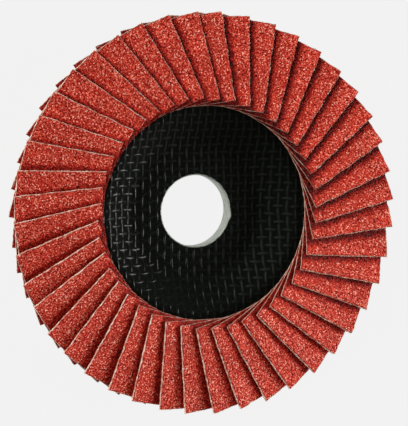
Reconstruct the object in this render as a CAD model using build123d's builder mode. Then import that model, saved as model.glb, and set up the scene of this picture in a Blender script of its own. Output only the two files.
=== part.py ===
"""Abrasive flap disc for an angle grinder, 125 mm across with a 22.23 mm bore.

The bore axis is Z, the back seating face is Z = 0 and the abrasive side faces +Z.
All lengths are millimetres.
"""

import os
from math import atan, cos, radians, sin, tan

from build123d import *

# ---- bore and arbor ring -------------------------------------------------
BORE_RADIUS = 11.115        # 22.23 mm bore
RING_WALL = 0.30
RING_FLANGE_RADIUS = 14.5
RING_FLANGE_THICKNESS = 0.50

# ---- laminated backing plate ---------------------------------------------
HUB_FRONT_HEIGHT = 5.00     # clamping face inside the depressed centre
HUB_KNEE_RADIUS = 21.5      # where the flat hub turns up
CREST_RADIUS = 31.3         # where the rise meets the cone
CREST_HEIGHT = 10.74
CONE_ANGLE = 7.65           # the annulus falls away towards the rim
PLATE_RADIUS = 54.5
PLY_THICKNESS = 0.80
HUB_PLY_THICKNESS = 1.20    # two extra plies thicken the hub
KNEE_FILLET = 7.0
CREST_FILLET = 4.0
BEND_SHIFT = 0.27           # outward shift of the bends per mm of depth in the laminate
LABEL_THICKNESS = 0.20
LABEL_RADIUS = 46.0
LABEL_GAP = 0.20            # between the ring flange and the label

# ---- abrasive flaps ------------------------------------------------------
FLAP_COUNT = 44
FLAP_WIDTH = 25.0
FLAP_LENGTH = 28.0
FLAP_THICKNESS = 0.90
FLAP_CORNER = 0.5
FLAP_TILT = 13.6            # the free edge stands above the buried edge
FLAP_CONE = 7.3             # the outer end sits lower than the inner end
FLAP_CENTRE_RADIUS = 47.4
FLAP_CENTRE_HEIGHT = 12.45  # top surface at the flap centre
FIRST_FLAP_ANGLE = 95.5     # centre line of flap_01, counter-clockwise from +X

# ---- adhesive bed --------------------------------------------------------
ADHESIVE_INNER_RADIUS = 34.4
ADHESIVE_OUTER_RADIUS = 53.6
ADHESIVE_THICKNESS = 1.6

OUT = "parts"


def contour(hub_height, depth, knee_shift=0.0):
    """Bends of one laminate interface, from the bore out to the rim."""
    knee = HUB_KNEE_RADIUS + depth * BEND_SHIFT + knee_shift
    crest = CREST_RADIUS + depth * BEND_SHIFT
    top = CREST_HEIGHT - depth
    rim = top - (PLATE_RADIUS - crest) * tan(radians(CONE_ANGLE))
    return [(BORE_RADIUS + RING_WALL, hub_height), (knee, hub_height), (crest, top), (PLATE_RADIUS, rim)]


def layer(lower, upper):
    """Ring-shaped layer between two contours."""
    with BuildPart() as ring:
        with BuildSketch(Plane.XZ):
            with BuildLine():
                low = FilletPolyline(*lower, radius=[KNEE_FILLET, CREST_FILLET])
                high = FilletPolyline(*upper, radius=[KNEE_FILLET, CREST_FILLET])
                Line(low @ 0, high @ 0)
                Line(low @ 1, high @ 1)
            make_face()
        revolve(axis=Axis.Z)
    return ring.part


def flap_plane(index):
    """Plane on the top surface of a flap: x runs across to its free edge, y outwards."""
    angle = radians(FIRST_FLAP_ANGLE - index * 360 / FLAP_COUNT)
    tilt, cone = radians(FLAP_TILT), radians(FLAP_CONE)
    outward = Vector(cos(angle), sin(angle), 0)
    clockwise = Vector(sin(angle), -cos(angle), 0)
    up = Vector(0, 0, 1)
    coned_up = up * cos(cone) + outward * sin(cone)
    across = clockwise * cos(tilt) + coned_up * sin(tilt)
    normal = coned_up * cos(tilt) - clockwise * sin(tilt)
    origin = outward * FLAP_CENTRE_RADIUS + up * FLAP_CENTRE_HEIGHT
    return Plane(origin=origin, x_dir=across, z_dir=normal)


os.makedirs(OUT, exist_ok=True)

# ---- laminate contours, front face first ---------------------------------
hub_extra = 2 * HUB_PLY_THICKNESS
rise = (CREST_HEIGHT - HUB_FRONT_HEIGHT) / (CREST_RADIUS - HUB_KNEE_RADIUS)     # slope of the dish
pulled_in = -hub_extra / rise           # the back plies bend up under the hub plies
front_face = contour(HUB_FRONT_HEIGHT, 0)
front_joint = contour(HUB_FRONT_HEIGHT - PLY_THICKNESS, PLY_THICKNESS)
middle_joint = contour(HUB_FRONT_HEIGHT - 2 * PLY_THICKNESS, 2 * PLY_THICKNESS)
hub_joint = contour(middle_joint[0][1] - hub_extra, 2 * PLY_THICKNESS, pulled_in)
back_joint = contour(hub_joint[0][1] - PLY_THICKNESS, 3 * PLY_THICKNESS, pulled_in)
back_face = contour(back_joint[0][1] - LABEL_THICKNESS, 3 * PLY_THICKNESS + LABEL_THICKNESS, pulled_in)

# ---- main plies ----------------------------------------------------------
with BuildPart() as backing_ply_front:
    add(layer(front_joint, front_face))
backing_ply_front.part.label = "backing_ply_front"
export_step(backing_ply_front.part, f"{OUT}/backing_ply_front.step")

with BuildPart() as backing_ply_middle:
    add(layer(middle_joint, front_joint))
backing_ply_middle.part.label = "backing_ply_middle"
export_step(backing_ply_middle.part, f"{OUT}/backing_ply_middle.step")

with BuildPart() as backing_ply_back:
    add(layer(back_joint, hub_joint))
    Cylinder(RING_FLANGE_RADIUS, 2 * RING_FLANGE_THICKNESS, mode=Mode.SUBTRACT)
backing_ply_back.part.label = "backing_ply_back"
export_step(backing_ply_back.part, f"{OUT}/backing_ply_back.step")

# ---- hub plies fill the wedge between the middle and the back ply ---------
bore_edge, hub_top = middle_joint[0]
knee_radius = middle_joint[1][0]
hub_floor = hub_joint[0][1]
hub_split = (hub_top + hub_floor) / 2
bend_run = KNEE_FILLET * tan(atan(rise) / 2)        # tangent length of the knee bend
bend_start = (knee_radius - bend_run, hub_top)
bend_end = (knee_radius + bend_run * cos(atan(rise)), hub_top + bend_run * sin(atan(rise)))

with BuildPart() as hub_wedge:
    with BuildSketch(Plane.XZ):
        with BuildLine():
            Line((bore_edge, hub_floor), (bore_edge, hub_top))
            Line((bore_edge, hub_top), bend_start)
            TangentArc(bend_start, bend_end, tangent=(1, 0))
            FilletPolyline((bore_edge, hub_floor), hub_joint[1], bend_end, radius=[KNEE_FILLET])
        make_face()
    revolve(axis=Axis.Z)

with BuildPart() as hub_ply_upper:
    add(hub_wedge.part)
    with Locations((0, 0, hub_split)):
        Cylinder(CREST_RADIUS, hub_extra, align=(Align.CENTER, Align.CENTER, Align.MIN),
                 mode=Mode.INTERSECT)
hub_ply_upper.part.label = "hub_ply_upper"
export_step(hub_ply_upper.part, f"{OUT}/hub_ply_upper.step")

with BuildPart() as hub_ply_lower:
    add(hub_wedge.part)
    with Locations((0, 0, hub_split)):
        Cylinder(CREST_RADIUS, hub_extra, align=(Align.CENTER, Align.CENTER, Align.MAX),
                 mode=Mode.INTERSECT)
hub_ply_lower.part.label = "hub_ply_lower"
export_step(hub_ply_lower.part, f"{OUT}/hub_ply_lower.step")

# ---- paper label on the back ---------------------------------------------
with BuildPart() as back_label:
    add(layer(back_face, back_joint))
    Cylinder(LABEL_RADIUS, 6 * HUB_FRONT_HEIGHT, mode=Mode.INTERSECT)
    Cylinder(RING_FLANGE_RADIUS + LABEL_GAP, 6 * HUB_FRONT_HEIGHT, mode=Mode.SUBTRACT)
back_label.part.label = "back_label"
export_step(back_label.part, f"{OUT}/back_label.step")

# ---- arbor ring: flange flush with the back, tube through the hub ---------
with BuildPart() as arbor_ring:
    Cylinder(RING_FLANGE_RADIUS, RING_FLANGE_THICKNESS, align=(Align.CENTER, Align.CENTER, Align.MIN))
    Cylinder(BORE_RADIUS + RING_WALL, HUB_FRONT_HEIGHT, align=(Align.CENTER, Align.CENTER, Align.MIN))
    Cylinder(BORE_RADIUS, 3 * HUB_FRONT_HEIGHT, mode=Mode.SUBTRACT)
arbor_ring.part.label = "arbor_ring"
export_step(arbor_ring.part, f"{OUT}/arbor_ring.step")

# ---- adhesive bed with one slanted step under every flap ------------------
bed_slope = tan(radians(CONE_ANGLE))
bed_inner = CREST_HEIGHT - (ADHESIVE_INNER_RADIUS - CREST_RADIUS) * bed_slope
bed_outer = CREST_HEIGHT - (ADHESIVE_OUTER_RADIUS - CREST_RADIUS) * bed_slope

with BuildPart() as adhesive_ring:
    with BuildSketch(Plane.XZ):
        with BuildLine():
            Polyline(
                (ADHESIVE_INNER_RADIUS, bed_inner),
                (ADHESIVE_OUTER_RADIUS, bed_outer),
                (ADHESIVE_OUTER_RADIUS, bed_outer + ADHESIVE_THICKNESS),
                (ADHESIVE_INNER_RADIUS, bed_inner + ADHESIVE_THICKNESS),
                close=True,
            )
        make_face()
    revolve(axis=Axis.Z)
    for i in range(FLAP_COUNT):
        with Locations(flap_plane(i)):
            with Locations((0, 0, -FLAP_THICKNESS)):
                Box(FLAP_WIDTH, FLAP_LENGTH + 4, 4 * FLAP_THICKNESS,
                    align=(Align.CENTER, Align.CENTER, Align.MIN), mode=Mode.SUBTRACT)
adhesive_ring.part.label = "adhesive_ring"
export_step(adhesive_ring.part, f"{OUT}/adhesive_ring.step")

# ---- the flaps, numbered clockwise from the top ---------------------------
for i in range(FLAP_COUNT):
    name = f"flap_{i + 1:02d}"
    with BuildPart() as flap:
        with BuildSketch(flap_plane(i)):
            RectangleRounded(FLAP_WIDTH, FLAP_LENGTH, FLAP_CORNER)
        extrude(amount=-FLAP_THICKNESS)
    flap.part.label = name
    export_step(flap.part, f"{OUT}/{name}.step")
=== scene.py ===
"""Looks, light and camera for the abrasive flap disc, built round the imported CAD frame.

Detailed meshes are worked out in millimetres in the CAD frame and written in metres.
"""

import math

import bpy
import numpy as np
from mathutils import Matrix, Vector


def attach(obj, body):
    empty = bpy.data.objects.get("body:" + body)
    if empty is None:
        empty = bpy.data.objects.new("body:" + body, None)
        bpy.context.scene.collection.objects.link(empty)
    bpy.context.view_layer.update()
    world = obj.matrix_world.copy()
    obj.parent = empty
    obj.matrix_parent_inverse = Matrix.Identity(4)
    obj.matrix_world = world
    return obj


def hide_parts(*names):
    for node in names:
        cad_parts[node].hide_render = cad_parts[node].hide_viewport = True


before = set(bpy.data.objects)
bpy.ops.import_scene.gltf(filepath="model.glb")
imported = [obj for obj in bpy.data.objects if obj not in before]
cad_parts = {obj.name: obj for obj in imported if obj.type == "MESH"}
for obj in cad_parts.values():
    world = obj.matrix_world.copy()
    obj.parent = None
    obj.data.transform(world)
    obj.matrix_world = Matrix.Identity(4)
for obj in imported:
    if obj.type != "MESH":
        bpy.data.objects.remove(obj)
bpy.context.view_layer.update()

MM = 0.001
SEED = 22

# ---- sizes shared with the CAD model, in millimetres -----------------------
BORE_RADIUS = 11.115
RING_WALL = 0.30
BORE_EDGE = BORE_RADIUS + RING_WALL
RING_FLANGE_RADIUS = 14.5
RING_FLANGE_THICKNESS = 0.50
HUB_FRONT_HEIGHT = 5.00
HUB_KNEE_RADIUS = 21.5
CREST_RADIUS = 31.3
CREST_HEIGHT = 10.74
CONE_ANGLE = math.radians(7.65)
PLATE_RADIUS = 54.5
PLY_THICKNESS = 0.80
HUB_PLY_THICKNESS = 1.20
KNEE_FILLET = 7.0
CREST_FILLET = 4.0
BEND_SHIFT = 0.27
LABEL_RADIUS = 46.0

FLAP_COUNT = 44
FLAP_WIDTH = 25.0
FLAP_LENGTH = 28.0
FLAP_THICKNESS = 0.90
FLAP_TILT = math.radians(13.6)
FLAP_CONE = math.radians(7.3)
FLAP_CENTRE_RADIUS = 47.4
FLAP_CENTRE_HEIGHT = 12.45
FIRST_FLAP_ANGLE = 95.5

# ---- flap surface detail, in millimetres unless it says otherwise -----------
CLOTH_THICKNESS = 0.34
GRIT_DEPTH = FLAP_THICKNESS - CLOTH_THICKNESS
GRAIN_PITCH = 0.46
GRAIN_RELIEF = 0.24
GRAIN_MEAN = 0.62                   # grain height that lies on the flap's top surface
GRAIN_MARGIN = 2                    # cells of grain past each edge
SHOWN_WIDTH = 10.4                  # part of each flap that the one above leaves open, with some spare
GRID_JITTER = 0.07
EDGE_WEAR = 0.35                    # how far in from a cut edge the grit is worn back
EDGE_ROUNDING = 0.07
EDGE_TONE = 0.15                    # tone of the grit coat's lower edge, 0..1
CREVICE_WIDTH = 1.25                # width of the painted shade beside the flap above
CREVICE_SHADE = 0.50                # how dark that painted shade is, 0..1
DEEPER_WIDTH = 0.7                  # extra width of painted shade on the side where it is deepest
# Extra painted shade where the flaps above cast their deepest shadows; DEEPER_SIDE points to that side of
# the disc.
DEEPER_SHADE = 0.30
DEEPER_SIDE = math.radians(40)
BURR = 0.35
OUTER_BURR = 0.48
BURR_RUN = (0.30, 0.13)             # start and shoulder of the burr, from the cut edge
CUT_ROUGHNESS = 0.05
FIBRES_PER_FLAP = 14
GLUE_REACH = 0.8

# ---- plate and ring detail, in millimetres unless it says otherwise ---------
WEAVE_PITCH = 2.45
WEAVE_ORIGIN = (-0.5, -1.5)
WEAVE_RELIEF = 0.30
YARN_HALF_WIDTH = 0.36
YARN_SHARPNESS = 2.4
HOLLOW_ROUGHNESS = 0.92             # of the dull resin between the yarns
PLY_SEGMENTS = 790
FRONT_STEP = 0.24                   # spacing of the rows that show the front weave
BACK_STEP = 0.27
WEAVE_SHOWN_TO = 35.5               # radius past which the flaps hide the front weave
RING_SEGMENTS = 320
BURR_ANGLE = math.radians(-9)
BURR_SPREAD = 8.0                   # degrees


# ---------------------------------------------------------------------------
# meshes
# ---------------------------------------------------------------------------
def mesh_piece(name, points, quads, material, tone, ngons=(), smooth=False):
    """Mesh object from points in millimetres, quads and other polygons; tone is 0..1 at each point."""
    mesh = bpy.data.meshes.new(name)
    corners = np.concatenate([quads.ravel()] + [np.asarray(ngon) for ngon in ngons]).astype(np.int32)
    sizes = np.concatenate([np.full(len(quads), 4), [len(ngon) for ngon in ngons]]).astype(np.int32)
    starts = (np.cumsum(sizes) - sizes).astype(np.int32)
    mesh.vertices.add(len(points))
    mesh.vertices.foreach_set("co", (points * MM).astype(np.float32).ravel())
    mesh.loops.add(len(corners))
    mesh.loops.foreach_set("vertex_index", corners)
    mesh.polygons.add(len(sizes))
    mesh.polygons.foreach_set("loop_start", starts)
    mesh.polygons.foreach_set("use_smooth", np.full(len(sizes), smooth))
    layer = mesh.attributes.new("tone", "FLOAT", "POINT")
    layer.data.foreach_set("value", tone.astype(np.float32).ravel())
    mesh.materials.append(material)
    mesh.update(calc_edges=True)
    piece = bpy.data.objects.new(name, mesh)
    bpy.context.scene.collection.objects.link(piece)
    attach(piece, "root")
    return piece


def grid_quads(rows, columns, start=0, flip=False):
    """Quads of a rows x columns grid of points."""
    index = start + np.arange(rows * columns).reshape(rows, columns)
    corners = [index[:-1, :-1], index[:-1, 1:], index[1:, 1:], index[1:, :-1]]
    quads = np.stack(corners, -1).reshape(-1, 4)
    return quads[:, ::-1] if flip else quads


def border(rows, columns):
    """Indices round the outside of a rows x columns grid, in order."""
    index = np.arange(rows * columns).reshape(rows, columns)
    return np.concatenate([index[0, :-1], index[:-1, -1], index[-1, :0:-1], index[:0:-1, 0]])


def band(loop_a, loop_b):
    """Quads joining two closed loops of the same length."""
    return np.stack([loop_a, loop_b, np.roll(loop_b, -1), np.roll(loop_a, -1)], -1)


def smooth_noise(rng, count, spread):
    """Random line of values of about unit size that changes over about spread samples."""
    raw = rng.normal(size=count + 6 * spread)
    kernel = np.exp(-0.5 * (np.arange(-3 * spread, 3 * spread + 1) / spread) ** 2)
    line = np.convolve(raw, kernel / np.sqrt((kernel**2).sum()), mode="same")
    return line[3 * spread:3 * spread + count]


# ---------------------------------------------------------------------------
# materials
# ---------------------------------------------------------------------------
class Paint:
    """Node material with short calls for the nodes used below."""

    def __init__(self, name, roughness, metallic=0.0, specular=0.5):
        self.material = bpy.data.materials.new(name)
        self.material.use_nodes = True
        self.tree = self.material.node_tree
        self.shader = self.tree.nodes["Principled BSDF"]
        self.shader.inputs["Roughness"].default_value = roughness
        self.shader.inputs["Metallic"].default_value = metallic
        self.shader.inputs["Specular IOR Level"].default_value = specular
        self.place = self.tree.nodes.new("ShaderNodeTexCoord").outputs["Object"]

    def link(self, source, target):
        if isinstance(source, (int, float)):
            target.default_value = source
        elif isinstance(source, tuple):
            target.default_value = (*source, 1.0)
        else:
            self.tree.links.new(source, target)

    def noise(self, scale, detail=2.0, roughness=0.5, stretch=None):
        node = self.tree.nodes.new("ShaderNodeTexNoise")
        node.inputs["Scale"].default_value = scale
        node.inputs["Detail"].default_value = detail
        node.inputs["Roughness"].default_value = roughness
        self.link(self.stretched(stretch), node.inputs["Vector"])
        return node.outputs["Fac"]

    def cells(self, scale):
        node = self.tree.nodes.new("ShaderNodeTexVoronoi")
        node.inputs["Scale"].default_value = scale
        self.link(self.place, node.inputs["Vector"])
        return node.outputs["Distance"]

    def vector(self, operation, source, other=(0.0, 0.0, 0.0)):
        node = self.tree.nodes.new("ShaderNodeVectorMath")
        node.operation = operation
        node.inputs[1].default_value = other
        self.link(source, node.inputs[0])
        return node.outputs

    def stretched(self, stretch):
        if stretch is None:
            return self.place
        return self.vector("MULTIPLY", self.place, stretch)["Vector"]

    def tone(self):
        node = self.tree.nodes.new("ShaderNodeAttribute")
        node.attribute_name = "tone"
        return node.outputs["Fac"]

    def sum(self, a, b, operation="ADD"):
        node = self.tree.nodes.new("ShaderNodeMath")
        node.operation = operation
        self.link(a, node.inputs[0])
        self.link(b, node.inputs[1])
        return node.outputs[0]

    def times(self, a, b):
        return self.sum(a, b, "MULTIPLY")

    def fit(self, value, low, high, new_low, new_high):
        node = self.tree.nodes.new("ShaderNodeMapRange")
        node.inputs["From Min"].default_value = low
        node.inputs["From Max"].default_value = high
        node.inputs["To Min"].default_value = new_low
        node.inputs["To Max"].default_value = new_high
        self.link(value, node.inputs["Value"])
        return node.outputs[0]

    def ramp(self, value, *stops):
        node = self.tree.nodes.new("ShaderNodeValToRGB")
        elements = node.color_ramp.elements
        while len(elements) < len(stops):
            elements.new(0.5)
        for element, (position, colour) in zip(elements, stops):
            element.position = position
            element.color = (*colour, 1.0)
        self.link(value, node.inputs[0])
        return node.outputs[0]

    def blend(self, amount, a, b, mode="MIX"):
        node = self.tree.nodes.new("ShaderNodeMix")
        node.data_type = "RGBA"
        node.blend_type = mode
        self.link(amount, node.inputs[0])
        self.link(a, node.inputs[6])
        self.link(b, node.inputs[7])
        return node.outputs[2]

    def bump(self, height, strength, distance_mm):
        node = self.tree.nodes.new("ShaderNodeBump")
        node.inputs["Strength"].default_value = strength
        node.inputs["Distance"].default_value = distance_mm * MM
        self.link(height, node.inputs["Height"])
        last = self.shader.inputs["Normal"].links
        if last:
            self.link(last[0].from_socket, node.inputs["Normal"])
        self.link(node.outputs[0], self.shader.inputs["Normal"])

    def colour(self, source):
        self.link(source, self.shader.inputs["Base Color"])

    def roughness(self, source):
        self.link(source, self.shader.inputs["Roughness"])


def grit_paint():
    """Red size resin over sharp grains, with painted highlights on the pale grain tips and painted shade
    in the dark pits between them.
    """
    paint = Paint("red_grit", 0.5, specular=0.12)
    uneven = paint.fit(paint.noise(2600, 2, 0.6), 0.3, 0.7, -0.22, 0.22)
    # Grain height to colour: the near-black low stop is painted shade in the pits, and the pale top stops
    # are painted highlights on the grain tips; the reds between are the coat's own colour.
    grit = paint.ramp(
        paint.sum(paint.tone(), uneven),
        (0.08, (0.016, 0.0010, 0.0005)),
        (0.34, (0.31, 0.009, 0.004)),
        (0.60, (0.605, 0.034, 0.017)),
        (0.82, (0.92, 0.15, 0.088)),
        (0.94, (1.00, 0.62, 0.48)),
    )
    batch = paint.ramp(paint.noise(140, 3), (0.3, (0.80, 0.80, 0.80)), (0.7, (1.0, 1.0, 1.0)))
    paint.colour(paint.blend(1.0, grit, batch, "MULTIPLY"))
    paint.roughness(paint.fit(paint.noise(1900, 1), 0.3, 0.7, 0.28, 0.75))
    paint.bump(paint.cells(3600), 0.6, 0.12)
    return paint.material


def cloth_paint():
    """Cream twill seen at cut edges, browned by resin in places and at the glued inner end."""
    paint = Paint("cream_cloth", 0.9, specular=0.15)
    stain = paint.fit(paint.noise(620, 3, 0.6), 0.42, 0.62, 0.0, 0.9)
    glued = paint.times(paint.tone(), 0.42)
    yarn = paint.ramp(
        paint.noise(2400, 2, 0.6, (1.0, 1.0, 2.5)),
        (0.32, (0.58, 0.38, 0.27)),
        (0.50, (0.92, 0.72, 0.58)),
        (0.75, (1.00, 0.90, 0.78)),
    )
    worn = paint.blend(stain, yarn, (0.58, 0.16, 0.090))
    paint.colour(paint.blend(glued, worn, (0.30, 0.085, 0.048)))
    paint.bump(paint.noise(3200, 2), 0.6, 0.08)
    return paint.material


def laminate_paint():
    """Black resin over glass yarns: dull in the hollows, glossy on the yarns where the resin is thick."""
    paint = Paint("black_laminate", 0.9, specular=0.11)
    yarn = paint.fit(paint.tone(), 0.10, 0.45, 0.0, 1.0)
    dust_and_shade = paint.fit(paint.noise(900, 3, 0.6), 0.58, 0.75, 0.0, 0.5)
    resin = paint.blend(yarn, (0.0010, 0.0016, 0.0006), (0.0050, 0.0066, 0.0044))
    paint.colour(paint.blend(dust_and_shade, resin, (0.008, 0.010, 0.006)))
    across = paint.vector("DOT_PRODUCT", paint.place, (0.9, 0.55, 0.0))["Value"]
    thick = paint.fit(across, 0.014, -0.018, 0.58, 0.20)
    uneven = paint.fit(paint.noise(420, 3, 0.6), 0.3, 0.7, -0.10, 0.10)
    yarn_gain = paint.sum(HOLLOW_ROUGHNESS, paint.sum(thick, uneven), "SUBTRACT")
    paint.roughness(paint.sum(HOLLOW_ROUGHNESS, paint.times(yarn, yarn_gain), "SUBTRACT"))
    paint.bump(paint.noise(1700, 3, 0.6), 0.25, 0.05)
    return paint.material


def rim_paint():
    """Ground edge of the plies: dull resin with cut glass showing."""
    paint = Paint("laminate_edge", 0.55, specular=0.4)
    glass = paint.fit(paint.noise(1100, 2, 0.6, (1.0, 1.0, 3.0)), 0.55, 0.7, 0.0, 0.7)
    paint.colour(paint.blend(glass, (0.006, 0.0065, 0.005), (0.06, 0.065, 0.055)))
    paint.bump(paint.noise(2200, 2), 0.5, 0.06)
    return paint.material


def ring_paint():
    """Drawn thin metal, dulled and scuffed."""
    paint = Paint("ring_metal", 0.5, metallic=0.6, specular=0.3)
    scuff = paint.fit(paint.noise(430, 4, 0.65, (1.0, 1.0, 4.0)), 0.45, 0.70, 0.0, 0.9)
    paint.colour(paint.blend(scuff, (0.43, 0.46, 0.405), (0.22, 0.24, 0.21)))
    paint.roughness(paint.fit(paint.noise(900, 3), 0.3, 0.7, 0.42, 0.7))
    paint.bump(paint.noise(1500, 3, 0.6, (1.0, 1.0, 4.0)), 0.35, 0.05)
    return paint.material


def adhesive_paint():
    """Brown cured resin."""
    paint = Paint("brown_adhesive", 0.5)
    resin = paint.ramp(paint.noise(600, 3), (0.3, (0.10, 0.030, 0.016)), (0.7, (0.24, 0.085, 0.045)))
    paint.colour(resin)
    paint.bump(paint.noise(500, 3), 0.5, 0.2)
    return paint.material


def label_paint():
    """Plain dark paper with a pale outer band and a rubbed surface."""
    paint = Paint("label_paper", 0.75, specular=0.3)
    radius = paint.vector("LENGTH", paint.stretched((1.0, 1.0, 0.0)))["Value"]
    bands = paint.ramp(
        paint.fit(radius, 0.0, 0.05, 0.0, 1.0),
        (0.0, (0.030, 0.031, 0.032)),
        (0.76, (0.030, 0.031, 0.032)),
        (0.765, (0.34, 0.028, 0.020)),
        (0.84, (0.34, 0.028, 0.020)),
        (0.845, (0.62, 0.61, 0.58)),
        (1.0, (0.62, 0.61, 0.58)),
    )
    rub = paint.ramp(paint.noise(160, 4, 0.6), (0.35, (0.75, 0.75, 0.75)), (0.6, (1.0, 1.0, 1.0)))
    paint.colour(paint.blend(1.0, bands, rub, "MULTIPLY"))
    paint.bump(paint.noise(2500, 2), 0.3, 0.03)
    return paint.material


GRIT = grit_paint()
CLOTH = cloth_paint()
LAMINATE = laminate_paint()
PLY_EDGE = rim_paint()
RING = ring_paint()
ADHESIVE = adhesive_paint()
LABEL = label_paint()


# ---------------------------------------------------------------------------
# flaps
# ---------------------------------------------------------------------------
class Flap:
    """Place, size and small hand-laid irregularities of one flap."""

    def __init__(self, index):
        self.name = f"flap_{index + 1:02d}"
        self.rng = np.random.default_rng([SEED, index])
        angle = math.radians(FIRST_FLAP_ANGLE - index * 360 / FLAP_COUNT)
        outward = np.array([math.cos(angle), math.sin(angle), 0.0])
        clockwise = np.array([math.sin(angle), -math.cos(angle), 0.0])
        up = np.array([0.0, 0.0, 1.0])
        coned_up = up * math.cos(FLAP_CONE) + outward * math.sin(FLAP_CONE)
        self.along = outward * math.cos(FLAP_CONE) - up * math.sin(FLAP_CONE)
        self.across = clockwise * math.cos(FLAP_TILT) + coned_up * math.sin(FLAP_TILT)
        self.normal = coned_up * math.cos(FLAP_TILT) - clockwise * math.sin(FLAP_TILT)
        self.centre = outward * FLAP_CENTRE_RADIUS + up * FLAP_CENTRE_HEIGHT
        self.yaw = math.radians(np.clip(self.rng.normal(0, 0.8), -1.5, 1.5))
        self.slip = self.rng.uniform(-0.22, 0.10)
        self.lift = np.clip(self.rng.normal(0, 0.22), -0.40, 0.40)
        self.ripple = self.rng.uniform(-0.05, 0.05)
        self.phase = self.rng.uniform(0, math.tau)
        self.wave = self.rng.uniform(0.03, 0.11)
        # How far this flap lies towards the side of the disc given extra painted crevice shade.
        self.shadow_side = max(0.0, math.cos(angle - DEEPER_SIDE))

    def points(self, s, u, depth):
        """Points in the frame from across, along and depth below the top surface."""
        free = np.clip(s / FLAP_WIDTH + 0.5, 0, 1)
        out = np.clip(u / FLAP_LENGTH + 0.5, 0, 1)
        bend = self.lift * free * out**1.6
        bend = bend + self.ripple * free**2 * np.sin(out * 7.0 + self.phase) * out
        thin = 1.0 - 0.14 * (1 - free) * (1 - out)
        reach = u + FLAP_LENGTH / 2
        wavy = self.wave * free**4 * np.sin(u * 0.75 + 2 * self.phase)
        turned_s = (s + wavy) * math.cos(self.yaw) + reach * math.sin(self.yaw)
        turned_u = reach * math.cos(self.yaw) - s * math.sin(self.yaw) - FLAP_LENGTH / 2 + self.slip
        return (
            self.centre
            + turned_s[..., None] * self.across
            + turned_u[..., None] * self.along
            + (bend - depth * thin)[..., None] * self.normal
        )


def grain_heights(rng, s, u):
    """Height 0..1 of packed sharp grains at each point."""
    columns = int(FLAP_WIDTH / GRAIN_PITCH) + 2 + 2 * GRAIN_MARGIN
    rows = int(FLAP_LENGTH / GRAIN_PITCH) + 2 + 2 * GRAIN_MARGIN
    centre_s = rng.uniform(0.05, 0.95, (rows, columns))
    centre_u = rng.uniform(0.05, 0.95, (rows, columns))
    top = rng.uniform(0.45, 1.0, (rows, columns))
    radius = rng.uniform(0.62, 1.0, (rows, columns))
    facet_s = rng.uniform(-0.5, 0.5, (rows, columns))
    facet_u = rng.uniform(-0.5, 0.5, (rows, columns))
    cell_s = (s + FLAP_WIDTH / 2) / GRAIN_PITCH + GRAIN_MARGIN
    cell_u = (u + FLAP_LENGTH / 2) / GRAIN_PITCH + GRAIN_MARGIN
    base_s = np.floor(cell_s).astype(int)
    base_u = np.floor(cell_u).astype(int)
    best = np.zeros_like(s)
    for step_u in (-1, 0, 1):
        for step_s in (-1, 0, 1):
            i = np.clip(base_u + step_u, 0, rows - 1)
            j = np.clip(base_s + step_s, 0, columns - 1)
            away_s = cell_s - (j + centre_s[i, j])
            away_u = cell_u - (i + centre_u[i, j])
            distance = np.hypot(away_s, away_u) / radius[i, j]
            height = top[i, j] * (1 - distance**2) + facet_s[i, j] * away_s + facet_u[i, j] * away_u
            best = np.maximum(best, height)
    return np.clip(best, 0, 1)


def covered_until(u):
    """How far across a flap the next flap above covers it, at each place along."""
    turn = math.tau / FLAP_COUNT
    radius = (FLAP_CENTRE_RADIUS + u - FLAP_WIDTH / 2 * math.sin(turn)) / math.cos(turn)
    return FLAP_WIDTH / 2 * math.cos(turn) - radius * math.sin(turn)


def grit_grid(rng):
    """Places across and along the grit coat, fine where the flap shows and uneven inside the edges."""
    half_w, half_l = FLAP_WIDTH / 2, FLAP_LENGTH / 2
    hidden = np.linspace(-half_w, half_w - SHOWN_WIDTH, 37)[:-1]
    shown = np.linspace(half_w - SHOWN_WIDTH, half_w, 54)
    s, u = np.meshgrid(np.concatenate([hidden, shown]), np.linspace(-half_l, half_l, 142))
    inside = np.zeros_like(s)
    inside[1:-1, 1:-1] = 1
    s = s + inside * rng.uniform(-GRID_JITTER, GRID_JITTER, s.shape)
    u = u + inside * rng.uniform(-GRID_JITTER, GRID_JITTER, u.shape)
    return s, u


def worn_edges(rng, s, u):
    """The same places with each cut edge chipped back a little."""
    rows, columns = s.shape
    chip_free = 0.11 + 0.08 * np.abs(smooth_noise(rng, rows, 2))
    chip_buried = 0.05 + 0.04 * np.abs(smooth_noise(rng, rows, 2))
    chip_out = 0.10 + 0.15 * np.abs(smooth_noise(rng, columns, 2))
    chip_in = 0.05 + 0.05 * np.abs(smooth_noise(rng, columns, 2))
    worn_s = s - chip_free[:, None] * np.exp(-(FLAP_WIDTH / 2 - s) / EDGE_WEAR)
    worn_s = worn_s + chip_buried[:, None] * np.exp(-(FLAP_WIDTH / 2 + s) / EDGE_WEAR)
    worn_u = u - chip_out[None, :] * np.exp(-(FLAP_LENGTH / 2 - u) / EDGE_WEAR)
    worn_u = worn_u + chip_in[None, :] * np.exp(-(FLAP_LENGTH / 2 + u) / EDGE_WEAR)
    return worn_s, worn_u


def grain_and_shade_tone(flap, grain, s, u):
    """Tone of the grit: grain height, darkened by painted shade in the crevice beside the flap above."""
    width = CREVICE_WIDTH * (1 + DEEPER_WIDTH * flap.shadow_side)
    covered = np.exp(-(np.maximum(s - covered_until(u), 0) / width) ** 3)
    tips = np.clip((grain - 0.70) / 0.25, 0, 1)
    # Painted shade in the crevice beside the flap above, kept off the tallest grain tips.
    dust_and_shade = (CREVICE_SHADE + DEEPER_SHADE * flap.shadow_side) * covered * (1 - 0.45 * tips)
    return (0.16 + 0.82 * grain) * (1 - dust_and_shade)


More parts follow.
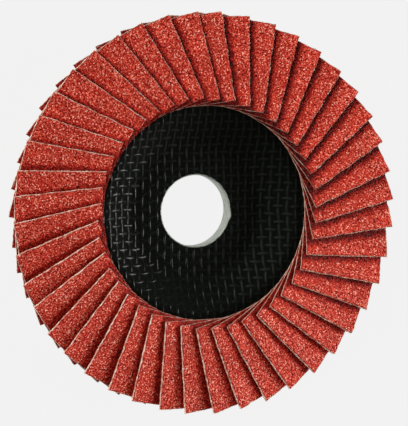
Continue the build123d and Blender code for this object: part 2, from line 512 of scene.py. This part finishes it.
def flap_grit(flap):
    """Grit coat: a fine relief grid, worn back a little from the cut edges."""
    s, u = grit_grid(flap.rng)
    rows, columns = s.shape
    worn_s, worn_u = worn_edges(flap.rng, s, u)
    grain = grain_heights(flap.rng, s, u)
    from_edge = np.minimum(FLAP_WIDTH / 2 - np.abs(s), FLAP_LENGTH / 2 - np.abs(u))
    depth = GRAIN_RELIEF * (GRAIN_MEAN - grain) + EDGE_ROUNDING * (1 - np.minimum(from_edge / 0.3, 1.0))
    top = flap.points(worn_s, worn_u, depth).reshape(-1, 3)
    rim = border(rows, columns)
    floor = flap.points(worn_s.ravel()[rim], worn_u.ravel()[rim], np.full(len(rim), GRIT_DEPTH))
    floor_loop = rows * columns + np.arange(len(rim))
    points = np.concatenate([top, floor])
    quads = np.concatenate([grid_quads(rows, columns), band(floor_loop, rim)])
    tone = np.concatenate([grain_and_shade_tone(flap, grain, s, u).ravel(), np.full(len(rim), EDGE_TONE)])
    piece = mesh_piece(flap.name + "_grit", points, quads, GRIT, tone, [floor_loop[::-1]])
    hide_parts(flap.name)


def fibres(flap, start, count):
    """Loose ends of cut yarn along the free edge: points, sides and ends of thin three-sided stubs."""
    rng = flap.rng
    half_l = FLAP_LENGTH / 2
    along = rng.uniform(-half_l, half_l, count)
    length = rng.uniform(0.25, 0.75, count)
    lean = rng.uniform(-0.9, 0.9, count)
    lift = rng.uniform(-0.35, 0.15, count)
    points, sides, ends = [], [], []
    for row in range(count):
        root_to_tip = np.repeat([-0.10, length[row] * 0.5], 3)
        sideways = np.array([-0.045, 0.045, 0.0, -0.02, 0.02, 0.0])
        sideways = sideways + np.repeat([0, lean[row] * length[row] * 0.6], 3)
        depth = 0.62 + np.array([0, 0, 0.08, 0, 0, 0.04]) + np.repeat([0, lift[row]], 3)
        u = np.clip(along[row] + sideways, -half_l, half_l)
        points.append(flap.points(FLAP_WIDTH / 2 + root_to_tip, u, depth))
        a, b, c, tip_a, tip_b, tip_c = range(start + 6 * row, start + 6 * row + 6)
        sides += [[a, b, tip_b, tip_a], [b, c, tip_c, tip_b], [c, a, tip_a, tip_c]]
        ends.append([tip_a, tip_b, tip_c])
    return np.concatenate(points), np.array(sides), ends


def burr_heights(rng, count, size):
    """Uneven height of the burr at each point along a cut edge."""
    return size * np.clip(0.80 + 0.42 * smooth_noise(rng, count, 1), 0.1, 1.4)


def flap_cloth(flap):
    """Cloth under the grit, with ragged cut edges that stand up a little as a burr."""
    rng = flap.rng
    half_w, half_l = FLAP_WIDTH / 2, FLAP_LENGTH / 2
    run, shoulder = BURR_RUN
    s_line = np.append(np.linspace(-half_w, half_w - run, 30), [half_w - shoulder, half_w])
    u_line = np.append(np.linspace(-half_l, half_l - run, 110), [half_l - shoulder, half_l])
    s, u = np.meshgrid(s_line, u_line)
    rows, columns = s.shape
    s[:, 0] += CUT_ROUGHNESS * rng.normal(size=rows)
    s[:, -1] += CUT_ROUGHNESS * rng.normal(size=rows)
    u[0] += CUT_ROUGHNESS * rng.normal(size=columns)
    u[-1] += CUT_ROUGHNESS * rng.normal(size=columns)
    raised = np.zeros_like(s)
    raised[:, -1] = burr_heights(rng, rows, BURR)
    raised[-1] = burr_heights(rng, columns, OUTER_BURR)
    raised[:, -2] = 0.75 * raised[:, -1]
    raised[-2, :-1] = 0.75 * raised[-1, :-1]
    top = flap.points(s, u, GRIT_DEPTH - raised).reshape(-1, 3)
    bottom = flap.points(s, u, np.full(s.shape, FLAP_THICKNESS)).reshape(-1, 3)
    rim = border(rows, columns)
    stub_points, stub_sides, stub_ends = fibres(flap, 2 * rows * columns, FIBRES_PER_FLAP)
    points = np.concatenate([top, bottom, stub_points])
    quads = np.concatenate([
        grid_quads(rows, columns),
        grid_quads(rows, columns, rows * columns, flip=True),
        band(rim + rows * columns, rim),
        stub_sides,
    ])
    glued = np.exp(-np.maximum(u.ravel() + half_l, 0) / GLUE_REACH)
    tone = np.concatenate([glued, np.maximum(glued, 0.6), np.zeros(len(stub_points))])
    piece = mesh_piece(flap.name + "_cloth", points, quads, CLOTH, tone, stub_ends)
    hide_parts(flap.name)


for flap_index in range(FLAP_COUNT):
    flap = Flap(flap_index)
    flap_grit(flap)
    flap_cloth(flap)


# ---------------------------------------------------------------------------
# backing plate
# ---------------------------------------------------------------------------
def dish_height(r, hub, depth, knee_shift=0.0):
    """Height of a laminate contour at radius r, with rounded knee and crest."""
    knee = HUB_KNEE_RADIUS + depth * BEND_SHIFT + knee_shift
    crest = CREST_RADIUS + depth * BEND_SHIFT
    top = CREST_HEIGHT - depth
    slope = math.atan((top - hub) / (crest - knee))
    knee_run = KNEE_FILLET * math.tan(slope / 2)
    crest_run = CREST_FILLET * math.tan((slope + CONE_ANGLE) / 2)
    knee_start, knee_end = knee - knee_run, knee + knee_run * math.cos(slope)
    crest_start = crest - crest_run * math.cos(slope)
    crest_end = crest + crest_run * math.cos(CONE_ANGLE)
    centre_r = crest_start + CREST_FILLET * math.sin(slope)
    centre_z = top - crest_run * math.sin(slope) - CREST_FILLET * math.cos(slope)
    knee_arc = hub + KNEE_FILLET - np.sqrt(np.maximum(KNEE_FILLET**2 - (r - knee_start) ** 2, 0))
    rise = hub + (r - knee) * math.tan(slope)
    crest_arc = centre_z + np.sqrt(np.maximum(CREST_FILLET**2 - (r - centre_r) ** 2, 0))
    cone = top - (r - crest) * math.tan(CONE_ANGLE)
    inside = [r < knee_start, r < knee_end, r < crest_start, r < crest_end]
    return np.select(inside, [np.full_like(r, hub), knee_arc, rise, crest_arc], cone)


def weave_height(x, y):
    """Relief 0..1 of a plain weave of flat yarns lying along X and Y."""
    wander_x = 0.10 * np.sin(y * 0.41 + 1.0) + 0.06 * np.sin(y * 1.13 + x * 0.05)
    wander_y = 0.10 * np.sin(x * 0.37 + 2.0) + 0.06 * np.sin(x * 1.07 + y * 0.06)
    column = (x - WEAVE_ORIGIN[0] + wander_x) / WEAVE_PITCH
    row = (y - WEAVE_ORIGIN[1] + wander_y) / WEAVE_PITCH
    near_column, near_row = np.round(column), np.round(row)
    odd_column = np.where(near_column % 2 == 0, 1.0, -1.0)
    odd_row = np.where(near_row % 2 == 0, 1.0, -1.0)
    warp = (0.5 - 0.5 * odd_column * np.cos(math.pi * row)) * 0.75 + 0.25
    weft = (0.5 + 0.5 * odd_row * np.cos(math.pi * column)) * 0.85
    from_warp = np.abs((column - near_column) * WEAVE_PITCH) / YARN_HALF_WIDTH
    from_weft = np.abs((row - near_row) * WEAVE_PITCH) / YARN_HALF_WIDTH
    return np.maximum(warp * np.exp(-from_warp**YARN_SHARPNESS), weft * np.exp(-from_weft**YARN_SHARPNESS))


def ring_solid(name, rows, material, segments):
    """Closed ring from rows of (radius, height, relief) that go once round its section."""
    angle = np.linspace(0, math.tau, segments, endpoint=False)
    points, tones = [], []
    for radius, height, relief in rows:
        x, y = radius * np.cos(angle), radius * np.sin(angle)
        weave = weave_height(x, y) if relief else np.zeros_like(x)
        points.append(np.stack([x, y, height + relief * weave], -1))
        tones.append(weave)
    index = np.arange(len(rows) * segments).reshape(len(rows), segments)
    after = np.roll(index, -1, axis=1)
    below, below_after = np.roll(index, -1, axis=0), np.roll(after, -1, axis=0)
    quads = np.stack([index, below, below_after, after], -1).reshape(-1, 4)
    return mesh_piece(name, np.concatenate(points), quads, material, np.concatenate(tones), smooth=True)


def contour_rows(radii, hub, depth, relief, knee_shift=0.0):
    """Rows for ring_solid along one laminate contour."""
    heights = dish_height(radii, hub, depth, knee_shift)
    return [(r, z, relief) for r, z in zip(radii, heights)]


def front_ply():
    """Ply with the flaps on it: woven where it shows, plain under the flaps and on the joint."""
    joint_height = HUB_FRONT_HEIGHT - PLY_THICKNESS
    woven = np.arange(BORE_EDGE, WEAVE_SHOWN_TO, FRONT_STEP)
    under_flaps = np.linspace(WEAVE_SHOWN_TO + 0.5, PLATE_RADIUS, 6)
    joint = np.linspace(PLATE_RADIUS, BORE_EDGE, 18)
    rows = contour_rows(woven, HUB_FRONT_HEIGHT, 0, WEAVE_RELIEF)
    rows += contour_rows(under_flaps, HUB_FRONT_HEIGHT, 0, 0)
    rows += contour_rows(joint, joint_height, PLY_THICKNESS, 0)
    ply = ring_solid("backing_ply_front_woven", rows, LAMINATE, PLY_SEGMENTS)
    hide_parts("backing_ply_front")


def back_ply():
    """Ply behind: plain on the joint and under the label, woven from the label's edge outwards."""
    hub_back = HUB_FRONT_HEIGHT - 2 * PLY_THICKNESS - 2 * HUB_PLY_THICKNESS
    slope = (CREST_RADIUS - HUB_KNEE_RADIUS) / (CREST_HEIGHT - HUB_FRONT_HEIGHT)
    pulled_in = -2 * HUB_PLY_THICKNESS * slope
    joint = np.linspace(BORE_EDGE, PLATE_RADIUS, 24)
    woven = np.arange(PLATE_RADIUS, LABEL_RADIUS + 0.1, -BACK_STEP)
    under_label = np.linspace(LABEL_RADIUS, RING_FLANGE_RADIUS, 40)
    outside = (hub_back - PLY_THICKNESS, 3 * PLY_THICKNESS)
    rows = contour_rows(joint, hub_back, 2 * PLY_THICKNESS, 0, pulled_in)
    rows += contour_rows(woven, *outside, -WEAVE_RELIEF, pulled_in)
    rows += contour_rows(under_label, *outside, 0, pulled_in)
    rows += [(RING_FLANGE_RADIUS, RING_FLANGE_THICKNESS, 0), (BORE_EDGE, RING_FLANGE_THICKNESS, 0)]
    ply = ring_solid("backing_ply_back_woven", rows, LAMINATE, PLY_SEGMENTS)
    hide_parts("backing_ply_back")


def rolled_ring():
    """Thin metal ring whose front edge is rolled out unevenly over the hub."""
    rng = np.random.default_rng([SEED, 900])
    angle = np.linspace(0, math.tau, RING_SEGMENTS, endpoint=False)
    wander = np.zeros_like(angle)
    for waves in (2, 3, 5, 8, 13, 21, 34):
        wander += rng.normal(0, 1 / waves) * np.cos(waves * angle + rng.uniform(0, math.tau))
    from_burr = np.degrees(np.abs(np.angle(np.exp(1j * (angle - BURR_ANGLE)))))
    lip = np.exp(-(from_burr / BURR_SPREAD) ** 2)
    roll = 0.10 + 0.09 * np.clip(wander, -1, 2) + 0.32 * lip
    edge = HUB_FRONT_HEIGHT + 0.08 + 0.05 * np.clip(wander, -1, 2) + 0.24 * lip
    dent = 0.04 * np.clip(wander, 0, 2)
    rows = [
        (BORE_RADIUS, 0.0, 0),
        (BORE_RADIUS + 0.3 * dent, 1.7, 0),
        (BORE_RADIUS + dent, 3.4, 0),
        (BORE_RADIUS + dent, HUB_FRONT_HEIGHT - 0.25, 0),
        (BORE_RADIUS + 0.12 + 0.3 * roll, edge, 0),
        (BORE_EDGE + roll, edge + 0.02, 0),
        (BORE_EDGE + roll, edge - 0.16, 0),
        (BORE_EDGE - 0.01, HUB_FRONT_HEIGHT - 0.12, 0),
        (BORE_EDGE - 0.01, RING_FLANGE_THICKNESS, 0),
        (RING_FLANGE_RADIUS, RING_FLANGE_THICKNESS, 0),
        (RING_FLANGE_RADIUS, 0.0, 0),
    ]
    ring = ring_solid("arbor_ring_rolled", rows, RING, RING_SEGMENTS)
    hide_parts("arbor_ring")


front_ply()
back_ply()
rolled_ring()

for node_name in ("backing_ply_middle", "hub_ply_upper", "hub_ply_lower"):
    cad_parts[node_name].data.materials[0] = PLY_EDGE
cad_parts["adhesive_ring"].data.materials[0] = ADHESIVE
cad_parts["back_label"].data.materials[0] = LABEL


# ---------------------------------------------------------------------------
# floor, light and camera
# ---------------------------------------------------------------------------
FLOOR_GLOW = 0.8705
FLOOR_SIZE = 14.0
FLOOR_GAP = 0.0002
SOFTBOX_SPREAD = math.radians(30)
SOFTBOXES = {
    "softbox_right": ((0.94, 0.0, 0.34), 3.15),
    "softbox_top_left": ((-0.47, 0.81, 0.34), 1.6),
    "softbox_left": ((-0.88, 0.32, 0.34), 1.15),
    "softbox_left_high": ((-0.71, 0.0, 0.71), 0.9),
    "softbox_near": ((0.66, -0.66, 0.34), 0.56),
}
SKY_STRENGTH = 0.02


def pale_floor():
    """Glowing pale sheet under the disc, which takes almost no shadow."""
    bpy.ops.mesh.primitive_plane_add(size=FLOOR_SIZE, location=(0, 0, -FLOOR_GAP))
    floor = bpy.context.object
    floor.name = "studio_floor"
    material = bpy.data.materials.new("studio_floor")
    material.use_nodes = True
    shader = material.node_tree.nodes["Principled BSDF"]
    shader.inputs["Base Color"].default_value = (0.02, 0.02, 0.02, 1)
    shader.inputs["Roughness"].default_value = 1.0
    shader.inputs["Specular IOR Level"].default_value = 0.0
    shader.inputs["Emission Color"].default_value = (1, 1, 1, 1)
    shader.inputs["Emission Strength"].default_value = FLOOR_GLOW
    floor.data.materials.append(material)


def softbox(name, direction, strength):
    """Large soft light from a direction in the frame."""
    data = bpy.data.lights.new(name, "SUN")
    data.energy = strength
    data.angle = SOFTBOX_SPREAD
    lamp = bpy.data.objects.new(name, data)
    lamp.rotation_mode = "QUATERNION"
    lamp.rotation_quaternion = Vector(direction).to_track_quat("Z", "Y")
    bpy.context.scene.collection.objects.link(lamp)


pale_floor()
for box_name, (box_direction, box_strength) in SOFTBOXES.items():
    softbox(box_name, box_direction, box_strength)

world = bpy.data.worlds.new("studio")
world.use_nodes = True
sky = world.node_tree.nodes["Background"]
sky.inputs["Color"].default_value = (1, 1, 1, 1)
sky.inputs["Strength"].default_value = SKY_STRENGTH
bpy.context.scene.world = world
bpy.context.scene.view_settings.view_transform = "Standard"

CAMERA_LEFT = math.radians(19.94)
CAMERA_UP = math.radians(4.41)
CAMERA_DISTANCE = 3.0
VIEW_SIZE = 132.2283                # long side of the view at the flap tips, in millimetres
SENSOR = 36
TIP_HEIGHT = 13.6
FRAMING = (-0.24, -0.07)            # the picture's centre lies this far from the bore axis

toward = Vector((
    -math.sin(CAMERA_LEFT) * math.cos(CAMERA_UP),
    math.sin(CAMERA_UP),
    math.cos(CAMERA_LEFT) * math.cos(CAMERA_UP),
))
right = Vector((0, 1, 0)).cross(toward).normalized()
above = toward.cross(right)
aim = Vector((0, 0, TIP_HEIGHT * MM)) + right * FRAMING[0] * MM + above * FRAMING[1] * MM

camera_data = bpy.data.cameras.new("camera")
camera_data.sensor_width = SENSOR
camera_data.lens = SENSOR * CAMERA_DISTANCE / (VIEW_SIZE * MM)
camera_data.clip_start = 0.1
camera_data.clip_end = 20
camera = bpy.data.objects.new("camera", camera_data)
turn = Matrix((right, above, toward)).transposed().to_4x4()
camera.matrix_world = Matrix.Translation(aim + toward * CAMERA_DISTANCE) @ turn
bpy.context.scene.collection.objects.link(camera)
bpy.context.scene.camera = camera
